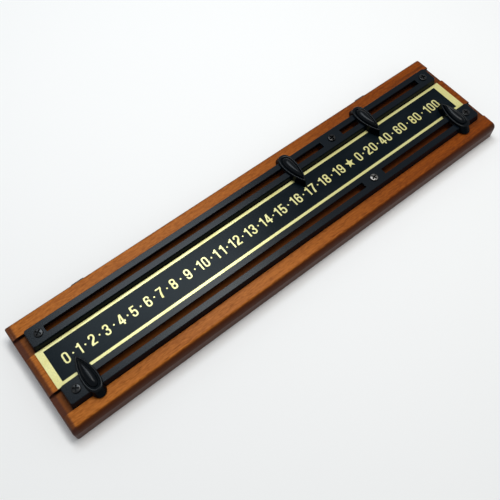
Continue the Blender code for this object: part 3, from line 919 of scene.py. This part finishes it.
# the outlines of a figure, from its lower left corner, in the size that it is drawn
def figureOutlines(digit):
    shape = figureShape
    (w, h), s, b = shape["drawn"], shape["stroke"], shape["bar"]
    mid, ry, small = w / 2, shape["bowl"], shape["smallBowl"]
    inX, inY = mid - s, ry - b
    ring = bow(mid, h - ry, mid, ry, 0, 180) + bow(mid, ry, mid, ry, 180, 360)
    if digit == "0":
        return [ring, bow(mid, h - ry, inX, inY, 0, 180) + bow(mid, ry, inX, inY, 180, 360)]
    if digit == "1":
        one, flagLow, flagHigh = shape["oneWidth"], h * 0.71, h * 0.83
        stem = [(one, h), (one, 0), (one - s, 0), (one - s, flagLow), (0, flagLow), (0, flagHigh)]
        return [stem + curveTo((0, flagHigh), (2.4, h * 0.85), (3.0, h))]
    if digit == "2":
        outer = bow(mid, h - ry, mid, ry, 180, 0)
        right = curveTo((w, h - ry), (w, h - 6.4), (5.0, 5.0)) + curveTo((5.0, 5.0), (3.4, 3.3), (3.2, b))
        inner = curveTo((0, 1.6), (0.2, 3.6), (3.0, 6.6)) + curveTo((3.0, 6.6), (w - s, 8.3), (w - s, h - ry))
        return [outer + right + [(w, b), (w, 0), (0, 0), (0, 1.6)] + inner + bow(mid, h - ry, inX, inY, 0, 180)]
    if digit == "3":
        top, low, slim = h - small, 4.1, 0.15
        outer = bow(mid, top, mid - slim, small, 180, 0)
        outer += curveTo((w - slim, top), (w - slim, 7.9), (w - 1.5, 7.3))
        lower = curveTo((w - 1.5, 7.3), (w, 6.6), (w, low)) + bow(mid, low, mid, low, 0, -180)
        inside = bow(mid, low, inX, low - b, 180, 360) + curveTo((w - s, low), (w - s, 6.2), (2.9, 6.2))
        upper = [(2.9, 8.2)] + curveTo((2.9, 8.2), (w - s - 0.1, 8.2), (w - s - 0.1, top))
        return [outer + lower + inside + upper + bow(mid, top, inX - 0.1, small - b, 0, 180)]
    if digit == "4":
        four, stem, barLow, barHigh = shape["fourWidth"], 4.2, 2.9, 5.0
        side = stem + s
        right = [(stem - 0.5, h), (side, h), (side, barHigh), (four, barHigh), (four, barLow), (side, barLow)]
        left = [(side, 0), (stem, 0), (stem, barLow), (0, barLow), (0, 4.9)]
        return [right + left, [(stem, 10.2), (stem, barHigh), (2.05, barHigh)]]
    if digit == "5":
        low, shoulder = ry, ry + 0.4
        flag = [(0.7, h), (w - 0.5, h), (w - 0.5, h - b), (2.9, h - b), (2.7, 8.9)]
        bowl = curveTo((2.7, 8.9), (w, 9.6), (w, shoulder)) + bow(mid, low, mid, low, 0, -180)
        inside = bow(mid, low, inX, low - b, 180, 360) + curveTo((w - s, shoulder), (w - s, 7.0), (mid, 7.0))
        inside += curveTo((mid, 7.0), (2.6, 7.0), (2.4, 6.2))
        return [flag + bowl + inside + [(0.15, 6.2)]]
    if digit in "69":
        bowl = bow(mid, ry + 0.2, mid, ry, 0, 105) + [(s, 8.1)]
        outlines = [ring + bowl + bow(mid, h - ry, inX, inY, 180, 0), oval(mid, ry + 0.1, inX, inY)]
        if digit == "9":
            outlines = [[(w - x, h - y) for x, y in outline] for outline in outlines]
        return outlines
    if digit == "7":
        right = [(0, h), (w, h), (w, h - b)] + curveTo((w, h - b), (4.4, 7.2), (4.2, 0))
        return [right + [(1.6, 0)] + curveTo((1.6, 0), (1.8, 6.4), (w - s, h - b)) + [(0, h - b)]]
    # only 8 is left
    top, low, slim = h - small, 4.0, 0.2
    waist, waistY = 0.72 * mid, 7.4
    right = curveTo((w - slim, top), (w - slim, 8.2), (mid + waist, waistY))
    right += curveTo((mid + waist, waistY), (w, 6.6), (w, low))
    left = curveTo((0, low), (0, 6.6), (mid - waist, waistY))
    left += curveTo((mid - waist, waistY), (slim, 8.2), (slim, top))
    outer = bow(mid, top, mid - slim, small, 180, 0) + right + bow(mid, low, mid, low, 0, -180) + left
    return [outer, oval(mid, top, inX, 1.75), oval(mid, low, inX, 2.0)]


def figureScale():
    drawn = figureShape["drawn"]
    return figureShape["width"] / drawn[0], figureShape["height"] / drawn[1]


def figureWidth(digit):
    wide = {"1": figureShape["oneWidth"], "4": figureShape["fourWidth"]}.get(digit, figureShape["drawn"][0])
    return wide * figureScale()[0]


# room after a figure that stands before another in a number
def figureGap(digit, following):
    if digit + following == "11":
        return figureShape["elevenGap"]
    return figureShape["oneGap"] if digit == "1" else figureShape["pairGap"]


# a thin raised skin with these outlines
def addSkin(name, outlines, x, y, low, high):
    curve = bpy.data.curves.new(name, "CURVE")
    curve.dimensions = "2D"
    curve.fill_mode = "BOTH"
    curve.extrude = (high - low) / 2
    for outline in outlines:
        before = outline[-1:] + outline[:-1]
        clean = [spot for spot, last in zip(outline, before) if math.dist(spot, last) > figureShape["apart"]]
        spline = curve.splines.new("POLY")
        spline.points.add(len(clean) - 1)
        for point, (px, py) in zip(spline.points, clean):
            point.co = (px * mm, py * mm, 0, 1)
        spline.use_cyclic_u = True
    skin = bpy.data.objects.new(name, curve)
    bpy.context.scene.collection.objects.link(skin)
    activate(skin)
    bpy.ops.object.convert(target="MESH")
    skin.location = (x * mm, y * mm, (low + high) / 2)
    bpy.ops.object.transform_apply()
    return skin


def starOutline():
    shape = figureShape
    corners = 2 * shape["starPoints"]
    points = []
    for step in range(corners):
        turn = math.pi / 2 + math.tau * step / corners
        reach = shape["starReach"] * (1 if step % 2 == 0 else shape["starPinch"])
        points.append((reach * math.cos(turn), shape["starTall"] * reach * math.sin(turn)))
    return points


def dotOutline():
    radius, steps = figureShape["dotRadius"], figureShape["dotSteps"]
    turns = [math.tau * step / steps for step in range(steps)]
    return [(radius * math.cos(turn), radius * math.sin(turn)) for turn in turns]


# the numbers of a run, with a dot between neighbours
def setRun(run, masters, dotMaster):
    shape = figureShape
    skins = []
    x = run["start"]
    lastEnd = x - run["gap"]
    for number, nudge in zip(run["numbers"], run["nudges"]):
        if run["dotFirst"] or number != run["numbers"][0]:
            dotX = (lastEnd + x + nudge) / 2
            skins.append(duplicate(dotMaster, "dot", (dotX * mm, shape["dotY"] * mm, 0)))
        digits = str(number)
        for digit, following in zip(digits, digits[1:] + " "):
            skins.append(duplicate(masters[digit], "figure", ((x + nudge) * mm, shape["baseY"] * mm, 0)))
            lastEnd = x + nudge + figureWidth(digit)
            x += figureWidth(digit) + (run["gap"] if following == " " else figureGap(digit, following))
    return skins


def makeFigures(low, high):
    shape = figureShape
    wide, tall = figureScale()
    masters = {}
    for digit in "0123456789":
        outlines = [[(x * wide, y * tall) for x, y in outline] for outline in figureOutlines(digit)]
        masters[digit] = addSkin("figure_" + digit, outlines, 0, 0, low, high)
    dotMaster = addSkin("dot", [dotOutline()], 0, 0, low, high)
    skins = []
    for run in figureRuns:
        skins += setRun(run, masters, dotMaster)
    skins.append(addSkin("star", [starOutline()], shape["starX"], shape["starY"], low, high))
    for master in list(masters.values()) + [dotMaster]:
        bpy.data.objects.remove(master, do_unlink=True)
    clearSelection()
    for skin in skins:
        skin.select_set(True)
    bpy.context.view_layer.objects.active = skins[0]
    bpy.ops.object.join()
    figures = bpy.context.object
    startEdit(figures)
    bpy.ops.mesh.select_all(action="SELECT")
    bpy.ops.mesh.remove_doubles(threshold=shape["weld"] * mm)
    bpy.ops.mesh.normals_make_consistent(inside=False)
    endEdit()
    finishPiece(figures, "gold_figures", "base", gold)


stripTop, figureTop = makeStrip()
makeFigures(stripTop, figureTop)
print("number strip made")


# CAD nodes that stay get their finishes

def dress(node, material):
    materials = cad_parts[node].data.materials
    materials.clear()
    materials.append(material)


for body in sliders:
    dress(body + "_pointer_foot", footPlastic)
    dress(body + "_pointer_pin", zincScrew)
for wallPlate in wallPlates:
    for number in (1, 2):
        dress(f"{wallPlate}_screw_{number}", zincScrew)
print("small fasteners dressed")


# floor, light and camera; the floor's size and the lamps are in metres, the rest in millimetres

stageLook = dict(
    floor=(0.95, 0.95, 0.935, 1), shade=(0.9, 0.9, 0.885, 1), shadeShare=0.3, roughness=0.9, shine=0.1,
    cloud=dict(rate=(3, 3, 3), detail=3.0), floorSize=8.0, drop=0.1, world=(0.95, 0.97, 1.0, 1), worldStrength=0.4,
)
lampLook = (
    dict(
        name="key", place=(0.3, 0.1, 1.5), aim=(0.03, 0.0, 0), size=(0.85, 0.38),
        radiance=10.2, colour=(1.0, 0.985, 0.96),
    ),
    dict(
        name="softbox", place=(0.1, 0.72, 1.46), aim=(-0.1, -0.03, 0), size=(0.76, 0.4),
        radiance=6.9, colour=(0.91, 0.985, 1.06),
    ),
    dict(
        name="fill", place=(1.25, 0.75, 1.5), aim=(0.3, 0, 0), size=(1.5, 1.1),
        radiance=0.06, colour=(0.95, 0.97, 1.0),
    ),
)
cameraLook = dict(
    place=(-255.4, -276.8, 640.3), aim=(-46.6, -18.1, 25.0), roll=0.43, lens=46.05, sensor=36, clipStart=10.0
)


def makeFloor():
    look = stageLook
    clearSelection()
    bpy.ops.mesh.primitive_plane_add(size=look["floorSize"], location=(0, 0, cadBox[0].z - look["drop"] * mm))
    floor = bpy.context.object
    floor.name = "floor"
    bpy.ops.object.transform_apply()
    fixed = {"Roughness": look["roughness"], "Specular IOR Level": look["shine"]}
    finish, shader, place = newFinish("floor_paper", fixed)
    cloud = noise(place, **look["cloud"])
    blendColour(cloud * look["shadeShare"], look["floor"], look["shade"]).into(shader.inputs["Base Color"])
    floor.data.materials.append(finish)


def turnTowards(place, aim):
    return (aim - place).to_track_quat("-Z", "Y").to_euler()


def makeLamp(look):
    bpy.ops.object.light_add(type="AREA", location=look["place"])
    lamp = bpy.context.object
    lamp.name = look["name"]
    lamp.rotation_euler = turnTowards(Vector(look["place"]), Vector(look["aim"]))
    wide, deep = look["size"]
    lamp.data.shape = "RECTANGLE"
    lamp.data.size, lamp.data.size_y = wide, deep
    lamp.data.energy = look["radiance"] * math.pi * wide * deep
    lamp.data.color = look["colour"]


def makeWorld():
    world = bpy.data.worlds.new("studio")
    bpy.context.scene.world = world
    world.use_nodes = True
    sky = world.node_tree.nodes["Background"]
    sky.inputs["Color"].default_value = stageLook["world"]
    sky.inputs["Strength"].default_value = stageLook["worldStrength"]


def makeCamera():
    look = cameraLook
    place, aim = Vector(look["place"]) * mm, Vector(look["aim"]) * mm
    clearSelection()
    bpy.ops.object.camera_add(location=place)
    camera = bpy.context.object
    camera.name = "camera"
    camera.rotation_euler = turnTowards(place, aim)
    camera.rotation_euler.rotate_axis("Z", math.radians(look["roll"]))
    camera.data.sensor_width = look["sensor"]
    camera.data.lens = look["lens"]
    camera.data.clip_start = look["clipStart"] * mm
    bpy.context.scene.camera = camera


makeFloor()
clearSelection()
for look in lampLook:
    makeLamp(look)
makeWorld()
makeCamera()
bpy.context.scene.view_settings.view_transform = "Standard"
clearSelection()
print("floor, light and camera made")
